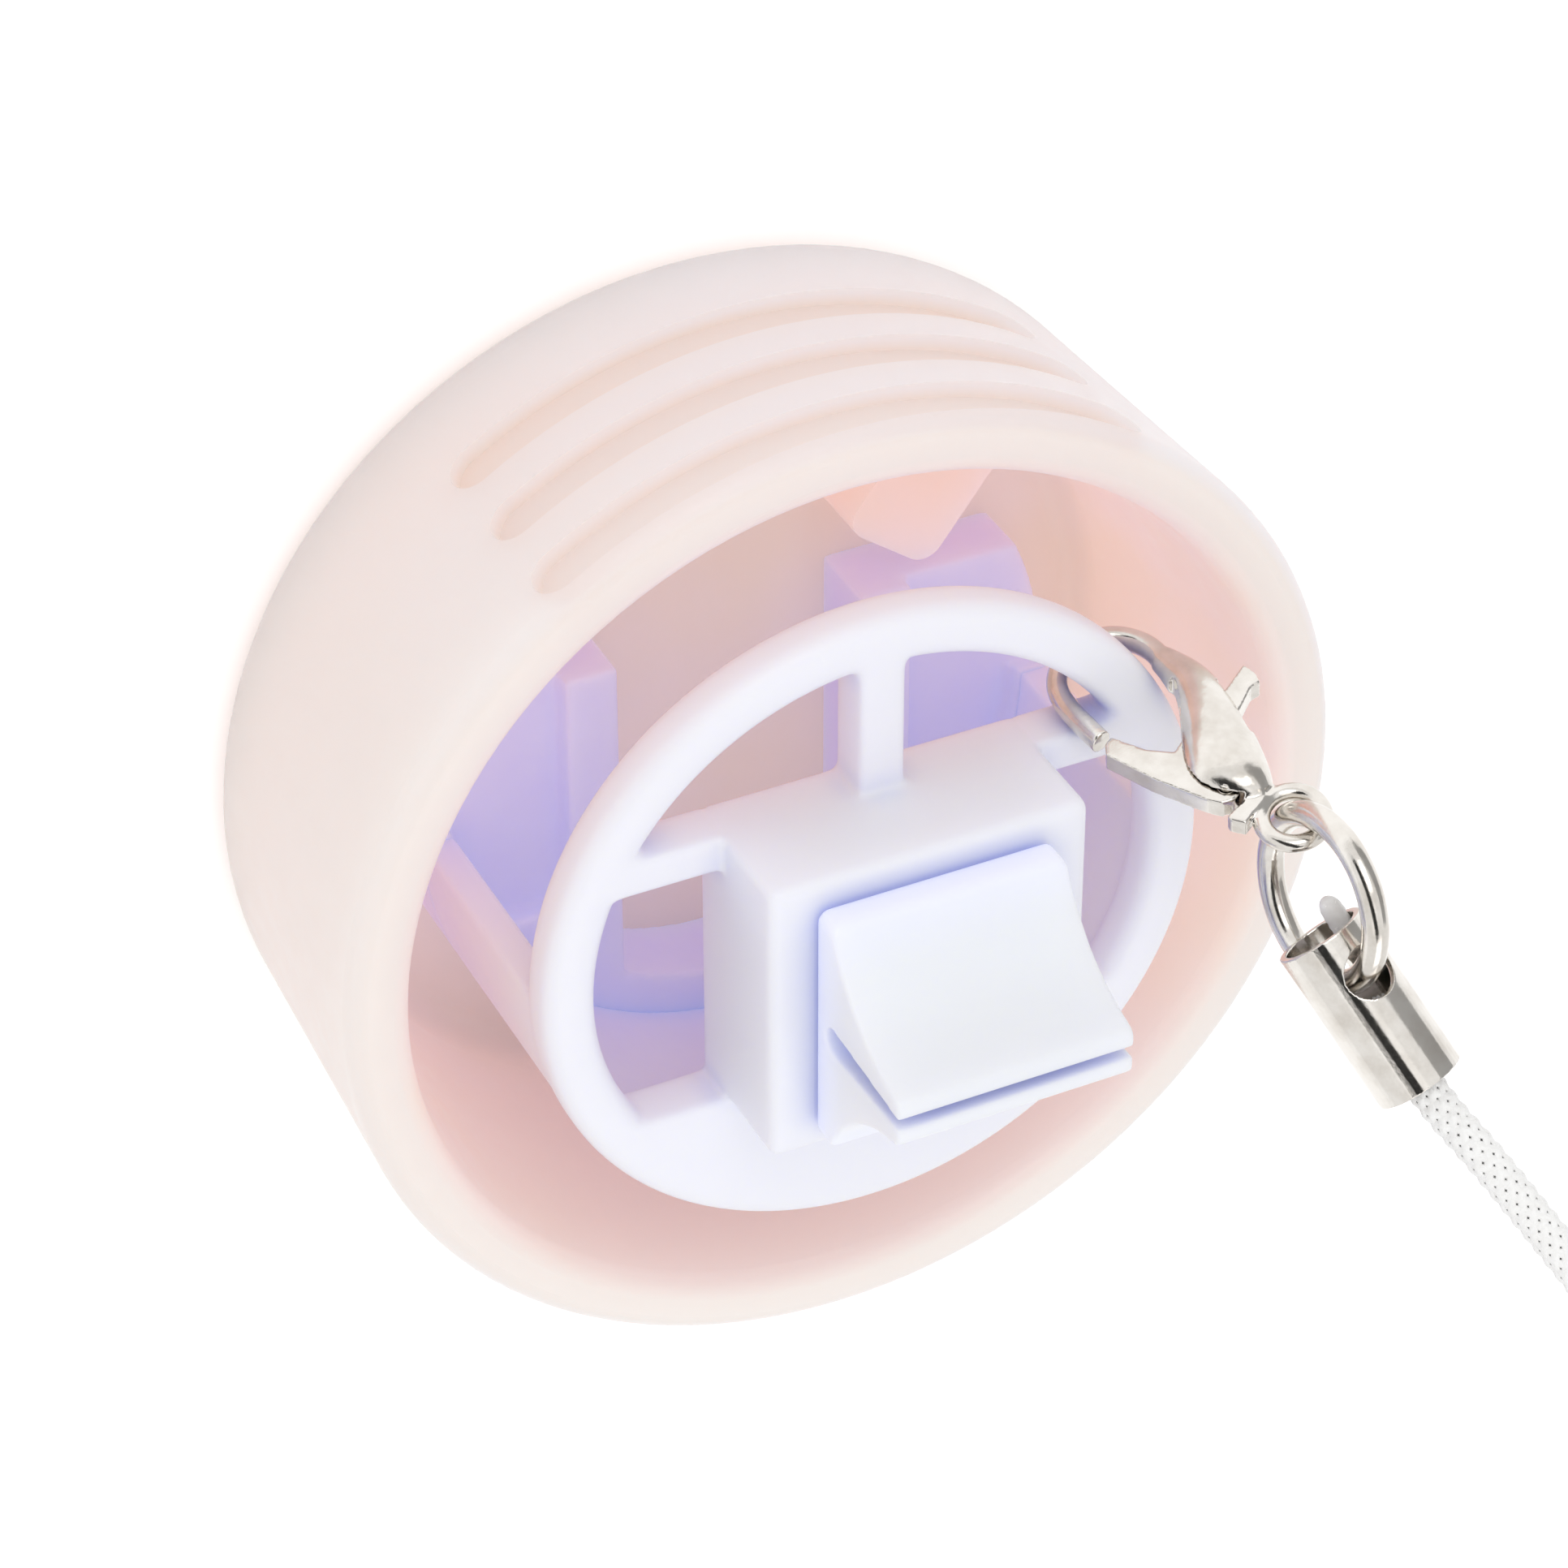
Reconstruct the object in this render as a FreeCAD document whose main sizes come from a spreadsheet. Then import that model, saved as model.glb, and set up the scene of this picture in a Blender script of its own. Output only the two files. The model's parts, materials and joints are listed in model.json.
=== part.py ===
# A small round wind-up toy: a soft cup 40 mm across that stands on its closed end with its mouth up.
# The cup holds a moulded frame. A square case in the middle of the frame's ring holds a spring movement,
# a two-leaf key on the case winds it, and a clasped strap is hooked on the ring.
# Millimetres. The origin is the centre of the closed end's outer face, and +Z points out of the mouth.
import FreeCAD, Part
import math
import os

from FreeCAD import Placement, Rotation, Vector

doc = FreeCAD.newDocument("WindUpToy")
sheet = doc.addObject("Spreadsheet::Sheet", "Sheet")

# alias: (value, what it is)
DIMENSIONS = {
    # soft cup
    "cup_rim_radius": (20.2, "outer radius at the mouth"),
    "cup_base_radius": (19.5, "outer radius at the closed end"),
    "cup_height": (15.5, "height of the cup"),
    "cup_floor": (2.0, "thickness of the closed end"),
    "cavity_rim_radius": (17.8, "inner radius at the mouth"),
    "cavity_base_radius": (16.6, "inner radius at the floor"),
    "cup_base_round": (1.8, "rounding of the closed end"),
    "cup_rim_round": (0.8, "rounding of the lip"),
    "cavity_round": (1.2, "rounding where the wall meets the floor"),
    "groove_first_height": (6.15, "height of the lowest grip groove's middle"),
    "groove_pitch": (3.83, "distance between grip grooves"),
    "groove_width": (2.1, "width of a grip groove"),
    "groove_depth": (0.7, "depth of a grip groove"),
    "groove_half_angle": (36.0, "half the arc that a groove covers"),
    "lug_angle": (53.0, "direction of the left and right retaining lugs, from +X and from -X"),
    "lug_width": (4.4, "width of a retaining lug"),
    "lug_tip_radius": (9.8, "distance of a lug's tip from the axis"),
    # frame: ring, spokes, web and half-tube
    "ring_radius": (13.4, "outer radius of the ring and the half-tube"),
    "ring_band": (2.1, "width of the ring's band"),
    "ring_thickness": (2.1, "thickness of the ring"),
    "ring_round": (0.7, "rounding of the ring's edges"),
    "ring_back_height": (15.15, "height of the ring's back face"),
    "spoke_width": (1.8, "width of the top spoke"),
    "side_spoke_width": (1.5, "width of the side spokes"),
    "tube_wall": (1.45, "wall of the half-tube"),
    # rear bracket
    "bracket_thickness": (3.5, "thickness of the rear bracket"),
    "bracket_top": (5.5, "height of the posts above the middle, along Y"),
    "window_half_width": (5.1, "half the width of the bracket's window"),
    "window_radius": (10.3, "radius of the window's round end"),
    "post_rib": (2.1, "width of the rib on each post"),
    "post_recess": (0.8, "depth of the recess beside the rib"),
    # movement case
    "case_width": (12.7, "outer size of the case along X"),
    "case_length": (12.1, "outer size of the case along Y"),
    "case_height": (5.95, "height of the case along Z"),
    "case_wall": (1.0, "side walls and front wall of the case"),
    "back_thickness": (0.8, "thickness of the case's back"),
    "fit_gap": (0.05, "gap round the case's back"),
    "boss_size": (1.6, "side of the corner bosses"),
    "screw_radius": (0.35, "radius of a screw's shank"),
    "screw_head_radius": (0.7, "radius of a screw's head"),
    "screw_head_height": (0.4, "height of a screw's head"),
    "screw_length": (2.6, "length under the head"),
    # winding key
    "key_width": (9.4, "length of the key's leaves along X"),
    "key_length": (10.2, "size of the key's foot along Y"),
    "key_height": (6.45, "height of the key above its foot's underside"),
    "key_gap": (0.25, "running gap between the key and the case"),
    "key_sweep_radius": (6.66, "radius of the hollow sides of the leaves"),
    "key_sweep_offset": (7.6, "distance of those radii's centres from the middle"),
    "key_sweep_rise": (7.3, "height of those centres above the foot's underside"),
    "slit_tip": (0.3, "slit between the leaves at the tip"),
    "slit_root": (1.1, "slit between the leaves at its root"),
    "slit_floor": (1.3, "height of the slit's root above the foot's underside"),
    "key_round": (0.45, "rounding of the key's edges"),
    # movement
    "key_arbor_radius": (0.8, "radius of the winding arbor"),
    "bush_radius": (1.4, "outer radius of the arbor's bush"),
    "running_gap": (0.05, "radial gap of a shaft in its hole"),
    "arbor_radius": (0.35, "radius of the train's arbors"),
    "pivot_depth": (0.5, "depth of a pivot in its bearing"),
    "gear_module": (0.25, "module of the train"),
    "great_teeth": (22, "teeth of the great wheel"),
    "pinion_teeth": (8, "teeth of both pinions"),
    "second_teeth": (16, "teeth of the second wheel"),
    "second_direction": (225.0, "direction of the second arbor from the key"),
    "weight_direction": (-18.4, "direction of the weight's arbor from the second one"),
    "spring_height": (1.3, "height of the mainspring's strip"),
    "spring_strip": (0.12, "thickness of the mainspring's strip"),
    "spring_inner_radius": (0.95, "inner radius of the mainspring"),
    "spring_outer_radius": (2.75, "outer radius of the mainspring"),
    "spring_turns": (4.5, "turns of the mainspring"),
    "spring_tail": (0.36, "length of the mainspring's outer end"),
    "spring_post_radius": (0.3, "radius of the post that holds the mainspring"),
    "wheel_thickness": (0.45, "thickness of the wheels"),
    "layer_gap": (0.2, "gap between layers of the movement"),
    "ratchet_radius": (1.45, "radius over the ratchet's teeth"),
    "ratchet_teeth": (10, "teeth of the ratchet"),
    "weight_radius": (1.15, "radius of the eccentric weight"),
    "weight_thickness": (0.5, "thickness of the eccentric weight"),
    # clasp
    "hook_angle": (36.0, "where the clasp hangs on the ring, from +X"),
    "hook_wire": (0.42, "half width of the hook's section"),
    "hook_depth": (0.51, "half depth of the hook's section"),
    "clasp_eye_reach": (8.85, "distance from the hook's middle to the eye's middle"),
    "clasp_eye_drop": (0.25, "distance of the eye's middle below the hook's middle"),
    "eye_radius": (1.14, "middle radius of the clasp's eye"),
    "eye_wire": (0.34, "radius of the eye's section"),
    "lever_thickness": (0.9, "thickness of the lever"),
    "slot_width": (1.1, "slot in the clasp's body for the lever"),
    "clasp_pin_radius": (0.28, "radius of the lever's pin"),
    "clasp_pin_length": (1.4, "length of the lever's pin, hidden in the cheeks"),
    "heel_thickness": (0.8, "thickness of the heel between the lever and the eye"),
    # strap
    "jump_radius": (3.15, "middle radius of the jump ring"),
    "jump_wire": (0.5, "radius of the jump ring's wire"),
    "sleeve_radius": (1.7, "outer radius of the cord's sleeve"),
    "sleeve_wall": (0.28, "wall of the sleeve"),
    "sleeve_length": (6.5, "length of the sleeve"),
    "sleeve_hole_radius": (1.0, "radius of the hole across the sleeve"),
    "sleeve_hole_drop": (1.85, "distance of that hole from the sleeve's end"),
    "cord_radius": (0.75, "radius of the strap's cord"),
    "knot_radius": (1.6, "radius of the knot at the cord's far end"),
}
for row, (alias, (number, meaning)) in enumerate(DIMENSIONS.items(), start=1):
    sheet.set(f"A{row}", meaning)
    sheet.set(f"B{row}", str(number))
    sheet.setAlias(f"B{row}", alias)
doc.recompute()

PARTS = []


def size(alias):
    """The number in the sheet's cell."""
    return float(sheet.get(alias))


def cells(text):
    """An expression written with bare aliases, with each alias tied to the sheet."""
    words = []
    for word in text.replace("(", " ( ").replace(")", " ) ").split():
        words.append("Sheet." + word if word in DIMENSIONS else word)
    return " ".join(words)


def bind(thing, **properties):
    """Tie properties to the sheet: bind(box, Length="case_width")."""
    for name, text in properties.items():
        thing.setExpression(name.replace("__", "."), cells(text))
    return thing


def at(thing, x="0", y="0", z="0", turn=None):
    """Put a primitive at a place given in the sheet's terms. turn is a Rotation that stays as it is."""
    if turn is not None:
        thing.Placement = Placement(Vector(), turn)
    return bind(thing, Placement__Base__x=x, Placement__Base__y=y, Placement__Base__z=z)


def box(name, length, width, height, x="0", y="0", z="0"):
    """A box centred on x and y that stands on z."""
    thing = bind(doc.addObject("Part::Box", name), Length=length, Width=width, Height=height)
    return at(thing, f"( {x} ) - ( {length} ) / 2", f"( {y} ) - ( {width} ) / 2", z)


def cylinder(name, radius, height, x="0", y="0", z="0", turn=None):
    thing = bind(doc.addObject("Part::Cylinder", name), Radius=radius, Height=height)
    return at(thing, x, y, z, turn)


def cone(name, low, high, height, z="0"):
    thing = bind(doc.addObject("Part::Cone", name), Radius1=low, Radius2=high, Height=height)
    return at(thing, z=z)


def join(name, *things):
    fused = doc.addObject("Part::MultiFuse", name)
    fused.Shapes = list(things)
    return fused


def cut(name, base, *tools):
    """base with each tool taken away."""
    tool = tools[0] if len(tools) == 1 else join(name + "_tools", *tools)
    result = doc.addObject("Part::Cut", name)
    result.Base, result.Tool = base, tool
    return result


def common(name, first, second):
    result = doc.addObject("Part::Common", name)
    result.Base, result.Tool = first, second
    return result


def round_edges(name, base, radius, wanted):
    """base with each edge that wanted(edge) picks rounded to radius."""
    doc.recompute()
    picked = [i for i, edge in enumerate(base.Shape.Edges, start=1) if wanted(edge)]
    rounded = doc.addObject("Part::Fillet", name)
    rounded.Base = base
    rounded.Edges = [(i, radius, radius) for i in picked]
    return rounded


def feature(name, shape, placement=None):
    """A shape that the primitives can't make, worked out from the sheet."""
    thing = doc.addObject("Part::Feature", name)
    thing.Shape = shape
    if placement is not None:
        thing.Placement = placement
    return thing


def piece(label, thing):
    """Mark an object as a finished piece of the toy."""
    thing.Label = label
    PARTS.append(thing)
    return thing


def polar(radius, degrees, z=0.0):
    angle = math.radians(degrees)
    return Vector(radius * math.cos(angle), radius * math.sin(angle), z)


def plate(points, thickness, z=0.0):
    """A flat plate with straight sides from z up."""
    corners = [Vector(x, y, z) for x, y in points]
    face = Part.Face(Part.makePolygon(corners + corners[:1]))
    return face.extrude(Vector(0, 0, thickness))


# ---------------------------------------------------------------- soft cup
def soft_cup():
    outside = cone("cup_outside", "cup_base_radius", "cup_rim_radius", "cup_height")
    outside = round_edges("cup_outside_round", outside, size("cup_base_round"),
                          lambda edge: edge.BoundBox.ZMax < 0.01)
    cavity = cone("cavity", "cavity_base_radius", "cavity_rim_radius", "cup_height - cup_floor", z="cup_floor")
    cavity = round_edges("cavity_round", cavity, size("cavity_round"),
                         lambda edge: edge.BoundBox.ZMax < size("cup_floor") + 0.01)
    cup = cut("cup_hollow", outside, cavity)
    rim = round_edges("cup_lip", cup, size("cup_rim_round"),
                      lambda edge: edge.BoundBox.ZMin > size("cup_height") - 0.01)
    grooves = [grip_groove(number) for number in range(3)]
    return join("soft_shell", cut("cup_grooved", rim, *grooves), *[lug(side) for side in (-1, 1)])


def grip_groove(number):
    """An arc of a ring round the cup's top side, with round ends."""
    middle = size("groove_first_height") + number * size("groove_pitch")
    slope = (size("cup_rim_radius") - size("cup_base_radius")) / size("cup_height")
    skin = size("cup_base_radius") + slope * middle
    half, depth, reach = size("groove_width") / 2, size("groove_depth"), 2.0
    floor = skin - depth
    end = size("groove_half_angle") - math.degrees(half / skin)
    ring = Part.makeCylinder(skin + reach, 2 * half, Vector(0, 0, middle - half))
    ring = ring.cut(Part.makeCylinder(floor, 2 * half, Vector(0, 0, middle - half)))
    wedge = plate([(0, 0)] + [tuple(polar(30, 90 + turn))[:2] for turn in (-end, -end / 2, 0, end / 2, end)],
                  size("cup_height"))
    arc = ring.common(wedge)
    for side in (-1, 1):
        outward = polar(1, 90 + side * end)
        disc = Part.makeCylinder(half, skin + reach, Vector(0, 0, middle), outward)
        arc = arc.fuse(disc.cut(Part.makeCylinder(floor, size("cup_height"))))
    return feature(f"groove_{number + 1}", arc)


def lug(side):
    """A soft finger on the inside of the wall that presses on top of one post of the bracket."""
    height = size("bracket_thickness") - 0.6
    across = size("lug_width")
    root = size("cavity_base_radius") + 1.2
    tip = size("lug_tip_radius")
    low = size("cup_floor") + 0.9
    finger = Part.makeBox(root - tip, across, height, Vector(tip, -across / 2, low))
    finger = finger.makeFillet(0.9, [edge for edge in finger.Edges
                                     if edge.BoundBox.XMax < tip + 0.01 and edge.BoundBox.ZLength > 1])
    turn = Rotation(Vector(0, 0, 1), size("lug_angle") if side > 0 else 180 - size("lug_angle"))
    finger.Placement = Placement(Vector(), turn)
    above_post = Part.makeBox(60, 30, 30, Vector(-30, size("bracket_top") + 0.05, 0))
    return feature(f"lug_{'left' if side < 0 else 'right'}", finger.common(above_post))


# ---------------------------------------------------------------- frame
def carrier_frame():
    top = "ring_back_height + ring_thickness"
    disc = cylinder("ring_disc", "ring_radius", "ring_thickness", z="ring_back_height")
    hole = cylinder("ring_hole", "ring_radius - ring_band", "ring_thickness + 2", z="ring_back_height - 1")
    ring = round_edges("ring_rounded", cut("ring_open", disc, hole), size("ring_round"), lambda edge: True)
    inside = cylinder("ring_inside", "ring_radius - ring_band / 2", "ring_thickness", z="ring_back_height")
    top_spoke = box("top_spoke", "spoke_width", "ring_radius", "ring_thickness", y="ring_radius / 2",
                    z="ring_back_height")
    cross = box("side_spokes", "2 * ring_radius", "side_spoke_width", "ring_thickness",
                y="( case_length - side_spoke_width ) / 2", z="ring_back_height")
    web = box("web", "2 * ring_radius", "ring_radius", "ring_thickness",
              y="0 - ( case_length + ring_radius ) / 2", z="ring_back_height")
    arms = common("arms", join("arms_long", top_spoke, cross, web), inside)
    seat = box("case_seat", "case_width", "case_length", "ring_thickness + 2", z="ring_back_height - 1")
    front = cut("front_grille", join("ring_and_arms", ring, arms), seat)
    return join("carrier_frame", front, half_tube())


def half_tube():
    low, long = "cup_floor + bracket_thickness", "ring_back_height - cup_floor - bracket_thickness"
    outer = cylinder("tube_outer", "ring_radius - 0.1", f"{long} + ring_thickness / 2", z=low)
    inner = cylinder("tube_inner", "ring_radius - tube_wall", f"{long} + ring_thickness / 2 + 2",
                     z=f"{low} - 1")
    upper = box("tube_upper_half", "3 * ring_radius", "2 * ring_radius", "2 * cup_height", y="ring_radius")
    return cut("half_tube", outer, inner, upper)


def rear_bracket():
    disc = cylinder("bracket_disc", "ring_radius - 0.1", "bracket_thickness", z="cup_floor")
    over = box("bracket_over", "3 * ring_radius", "ring_radius", "cup_height",
               y="bracket_top + ring_radius / 2")
    straight = box("window_straight", "2 * window_half_width", "2 * ring_radius", "cup_height",
                   y="ring_radius")
    round_end = common("window_round",
                       cylinder("window_disc", "window_radius", "cup_height"),
                       box("window_band", "2 * window_half_width", "2 * ring_radius", "cup_height"))
    recess_start = "window_half_width + post_rib"
    recesses = [box(f"recess_{side}", "ring_radius", "2 * ring_radius", "post_recess + 1",
                    x=f"{sign} ( {recess_start} + ring_radius / 2 )", y="ring_radius - 5",
                    z="cup_floor + bracket_thickness - post_recess")
                for side, sign in (("left", "0 -"), ("right", "0 +"))]
    under_tube = cut("recess_limit", join("recess_pair", *recesses),
                     cut("tube_keep",
                         cylinder("keep_outer", "ring_radius + 1", "2 * cup_height"),
                         cylinder("keep_inner", "ring_radius - tube_wall", "2 * cup_height"),
                         box("keep_above", "3 * ring_radius", "2 * ring_radius", "2 * cup_height",
                             y="ring_radius")))
    return cut("rear_bracket", disc, over, straight, round_end, under_tube)


# ---------------------------------------------------------------- movement case
FRONT_INSIDE = "ring_back_height + case_height - case_wall"
BACK_INSIDE = "ring_back_height + back_thickness"
SCREW_CORNERS = ((1, -1), (-1, 1))


def corner(alias, sign):
    """The middle of a corner boss along one axis."""
    return f"{sign} * ( {alias} / 2 - case_wall - boss_size / 2 )"


def movement_case():
    block = box("case_block", "case_width", "case_length", "case_height", z="ring_back_height")
    block = round_edges("case_round", block, 0.3, lambda edge: edge.BoundBox.ZMax > size("ring_back_height") + 1)
    room = box("case_room", "case_width - 2 * case_wall", "case_length - 2 * case_wall",
               "case_height - case_wall + 1", z="ring_back_height - 1")
    bush_hole = cylinder("bush_hole", "bush_radius", "2 * case_wall", z=FRONT_INSIDE + " - case_wall / 2")
    walls = cut("case_walls", block, room, bush_hole)
    bosses = [box(f"boss_{number}", "boss_size", "boss_size",
                  "case_height - case_wall - back_thickness", corner("case_width", x), corner("case_length", y),
                  BACK_INSIDE)
              for number, (x, y) in enumerate(SCREW_CORNERS, start=1)]
    holes = [cylinder(f"boss_hole_{number}", "screw_radius", "screw_length + 0.3",
                      corner("case_width", x), corner("case_length", y), "ring_back_height")
             for number, (x, y) in enumerate(SCREW_CORNERS, start=1)]
    pivots = [pivot_hole(f"front_pivot_{name}", place, size("ring_back_height") + size("case_height")
                         - size("case_wall") - 1.0) for name, place in TRAIN_ARBORS.items()]
    return cut("movement_case", join("case_and_bosses", walls, *bosses), *holes, *pivots)


def case_back():
    lid = box("back_plate", "case_width - 2 * case_wall - 2 * fit_gap",
              "case_length - 2 * case_wall - 2 * fit_gap", "back_thickness", z="ring_back_height")
    holes = [cylinder(f"back_hole_{number}", "screw_radius", "back_thickness + 2",
                      corner("case_width", x), corner("case_length", y), "ring_back_height - 1")
             for number, (x, y) in enumerate(SCREW_CORNERS, start=1)]
    holes.append(cylinder("back_bearing", "key_arbor_radius + running_gap", "back_thickness",
                          z=BACK_INSIDE + " - pivot_depth"))
    pivots = [pivot_hole(f"back_pivot_{name}", place, size("ring_back_height") + size("back_thickness")
                         - size("pivot_depth")) for name, place in TRAIN_ARBORS.items()]
    post = cylinder("spring_post_hole", "spring_post_radius", "back_thickness",
                    f"{SPRING_POST.x}", f"{SPRING_POST.y}", BACK_INSIDE + " - pivot_depth")
    return cut("case_back", lid, post, *holes, *pivots)


def pivot_hole(name, place, low):
    """A blind bearing hole, one and a half pivots long, that starts at height low."""
    hole = Part.makeCylinder(size("arbor_radius") + size("running_gap"), 3 * size("pivot_depth"),
                             Vector(place.x, place.y, low))
    return feature(name, hole)


def case_screws():
    screws = []
    for number, (x, y) in enumerate(SCREW_CORNERS, start=1):
        place = corner("case_width", x), corner("case_length", y)
        shank = cylinder(f"screw_shank_{number}", "screw_radius", "screw_length", *place, z="ring_back_height")
        head = cylinder(f"screw_head_{number}", "screw_head_radius", "screw_head_height", *place,
                        z="ring_back_height - screw_head_height")
        slot = box(f"screw_slot_{number}", "2 * screw_head_radius", "0.2", "screw_head_height / 2", *place,
                   z="ring_back_height - screw_head_height")
        screws.append(cut(f"screw_{number}", join(f"screw_blank_{number}", shank, head), slot))
    group = doc.addObject("Part::Compound", "case_screws")
    group.Links = screws
    return group


def key_bush():
    tube = cylinder("bush_outer", "bush_radius", "case_wall", z=FRONT_INSIDE)
    bore = cylinder("bush_bore", "key_arbor_radius + running_gap", "2 * case_wall",
                    z=FRONT_INSIDE + " - case_wall / 2")
    return cut("key_bush", tube, bore)


# ---------------------------------------------------------------- winding key
KEY_FOOT = "ring_back_height + case_height + key_gap"


def winding_key():
    block = box("key_block", "key_width", "key_length", "key_height", z=KEY_FOOT)
    across = Rotation(Vector(0, 1, 0), 90)
    sweeps = [cylinder(f"key_sweep_{side}", "key_sweep_radius", "2 * key_width", "0 - key_width",
                       f"{sign} key_sweep_offset", KEY_FOOT + " + key_sweep_rise", across)
              for side, sign in (("left", "0 -"), ("right", "0 +"))]
    leaves = cut("key_leaves", block, *sweeps, key_slit())
    rounded = round_edges("key_rounded", leaves, size("key_round"), key_outer_edge)
    socket = cylinder("key_socket", "key_arbor_radius", "1.0", z=KEY_FOOT)
    return cut("winding_key", rounded, socket)


def key_outer_edge(edge):
    """The foot's four upright corners and the long edges at the foot and the leaves' tips."""
    bounds = edge.BoundBox
    foot = size("ring_back_height") + size("case_height") + size("key_gap")
    upright = bounds.XLength < 0.01 and bounds.YLength < 0.01
    long_low = bounds.XLength > size("key_width") - 0.01 and bounds.ZLength < 0.01
    outer = abs(bounds.YMax + bounds.YMin) / 2 > 0.5
    return (upright or long_low) and outer and bounds.ZMin > foot - 0.01 and bounds.ZMax > foot + 0.5


def key_slit():
    """The gap between the leaves, wide at its root and narrow at the tip."""
    foot = size("ring_back_height") + size("case_height") + size("key_gap")
    low, high = foot + size("slit_floor"), foot + size("key_height")
    root, tip = size("slit_root") / 2, size("slit_tip") / 2
    reach = size("key_width")
    corners = [Vector(-reach, -root, low), Vector(-reach, root, low), Vector(-reach, tip, high + 1),
               Vector(-reach, -tip, high + 1)]
    wedge = Part.Face(Part.makePolygon(corners + corners[:1])).extrude(Vector(2 * reach, 0, 0))
    end = Part.makeCylinder(root, 2 * reach, Vector(-reach, 0, low), Vector(1, 0, 0))
    return feature("key_slit", wedge.fuse(end))


# ---------------------------------------------------------------- movement
def between_arbors(first, second):
    """The distance between two meshed wheels' arbors."""
    return size("gear_module") * (size(first) + size(second)) / 2


SECOND_ARBOR = polar(between_arbors("great_teeth", "pinion_teeth"), size("second_direction"))
WEIGHT_ARBOR = SECOND_ARBOR + polar(between_arbors("second_teeth", "pinion_teeth"), size("weight_direction"))
TRAIN_ARBORS = {"second": SECOND_ARBOR, "weight": WEIGHT_ARBOR}
SPRING_POST = polar(size("spring_outer_radius") + 0.75, 45)

BACK_FACE = size("ring_back_height") + size("back_thickness")
FRONT_FACE = size("ring_back_height") + size("case_height") - size("case_wall")
SPRING_LOW = BACK_FACE + size("layer_gap")
GREAT_LOW = SPRING_LOW + size("spring_height") + size("layer_gap")
RATCHET_LOW = GREAT_LOW + size("wheel_thickness") + 0.05
SECOND_LOW = RATCHET_LOW + size("wheel_thickness") + size("layer_gap")


def toothed(teeth, phase):
    """The outline of a wheel with slim straight-sided teeth, one of them pointing at phase degrees."""
    pitch_radius = size("gear_module") * teeth / 2
    tip, root = pitch_radius + 0.7 * size("gear_module"), pitch_radius - 1.05 * size("gear_module")
    step = 360 / teeth
    outline = []
    for number in range(int(teeth)):
        middle = phase + number * step
        for radius, share in ((root, -0.24), (tip, -0.11), (tip, 0.11), (root, 0.24)):
            outline.append(tuple(polar(radius, middle + share * step))[:2])
    return outline


def wheel(name, teeth, phase, place, low, thickness, bore):
    body = plate(toothed(teeth, phase), thickness, low)
    body = body.cut(Part.makeCylinder(bore, 3 * thickness, Vector(0, 0, low - thickness)))
    body.translate(Vector(place.x, place.y, 0))
    return feature(name, body)


def arbor(name, radius, low, high, place):
    return feature(name, Part.makeCylinder(radius, high - low, Vector(place.x, place.y, low)))


def direction(start, end):
    return math.degrees(math.atan2(end.y - start.y, end.x - start.x))


def train():
    """The great wheel, the two arbors it drives and the eccentric weight."""
    great_teeth, pinion_teeth, second_teeth = size("great_teeth"), size("pinion_teeth"), size("second_teeth")
    towards_second = size("second_direction")
    towards_weight = direction(SECOND_ARBOR, WEIGHT_ARBOR)
    thick, centre = size("wheel_thickness"), Vector()
    half_gap = 180 / pinion_teeth
    pivot_low, pivot_high = BACK_FACE - size("pivot_depth") + 0.05, FRONT_FACE + size("pivot_depth") - 0.05
    piece("great_wheel", wheel("great_wheel", great_teeth, towards_second, centre, GREAT_LOW, thick,
                               size("key_arbor_radius") + size("running_gap")))
    piece("second_pinion", wheel("second_pinion", pinion_teeth, towards_second + 180 + half_gap, SECOND_ARBOR,
                                 GREAT_LOW - 0.1, thick + 0.2, size("arbor_radius")))
    piece("second_wheel", wheel("second_wheel", second_teeth, towards_weight, SECOND_ARBOR, SECOND_LOW, thick,
                                size("arbor_radius")))
    piece("weight_pinion", wheel("weight_pinion", pinion_teeth, towards_weight + 180 + half_gap, WEIGHT_ARBOR,
                                 SECOND_LOW - 0.1, thick + 0.15, size("arbor_radius")))
    piece("second_arbor", arbor("second_arbor", size("arbor_radius"), pivot_low, pivot_high, SECOND_ARBOR))
    piece("weight_arbor", arbor("weight_arbor", size("arbor_radius"), pivot_low, pivot_high, WEIGHT_ARBOR))
    low = SECOND_LOW - 0.2 - size("weight_thickness")
    weight = Part.makeCylinder(size("weight_radius"), size("weight_thickness"), Vector(0, 0, low),
                               Vector(0, 0, 1), 180)
    hub = Part.makeCylinder(size("arbor_radius") + 0.3, size("weight_thickness"), Vector(0, 0, low))
    weight = weight.fuse(hub).cut(Part.makeCylinder(size("arbor_radius"), 4, Vector(0, 0, low - 1)))
    weight.translate(Vector(WEIGHT_ARBOR.x, WEIGHT_ARBOR.y, 0))
    piece("eccentric_weight", feature("eccentric_weight", weight))


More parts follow.
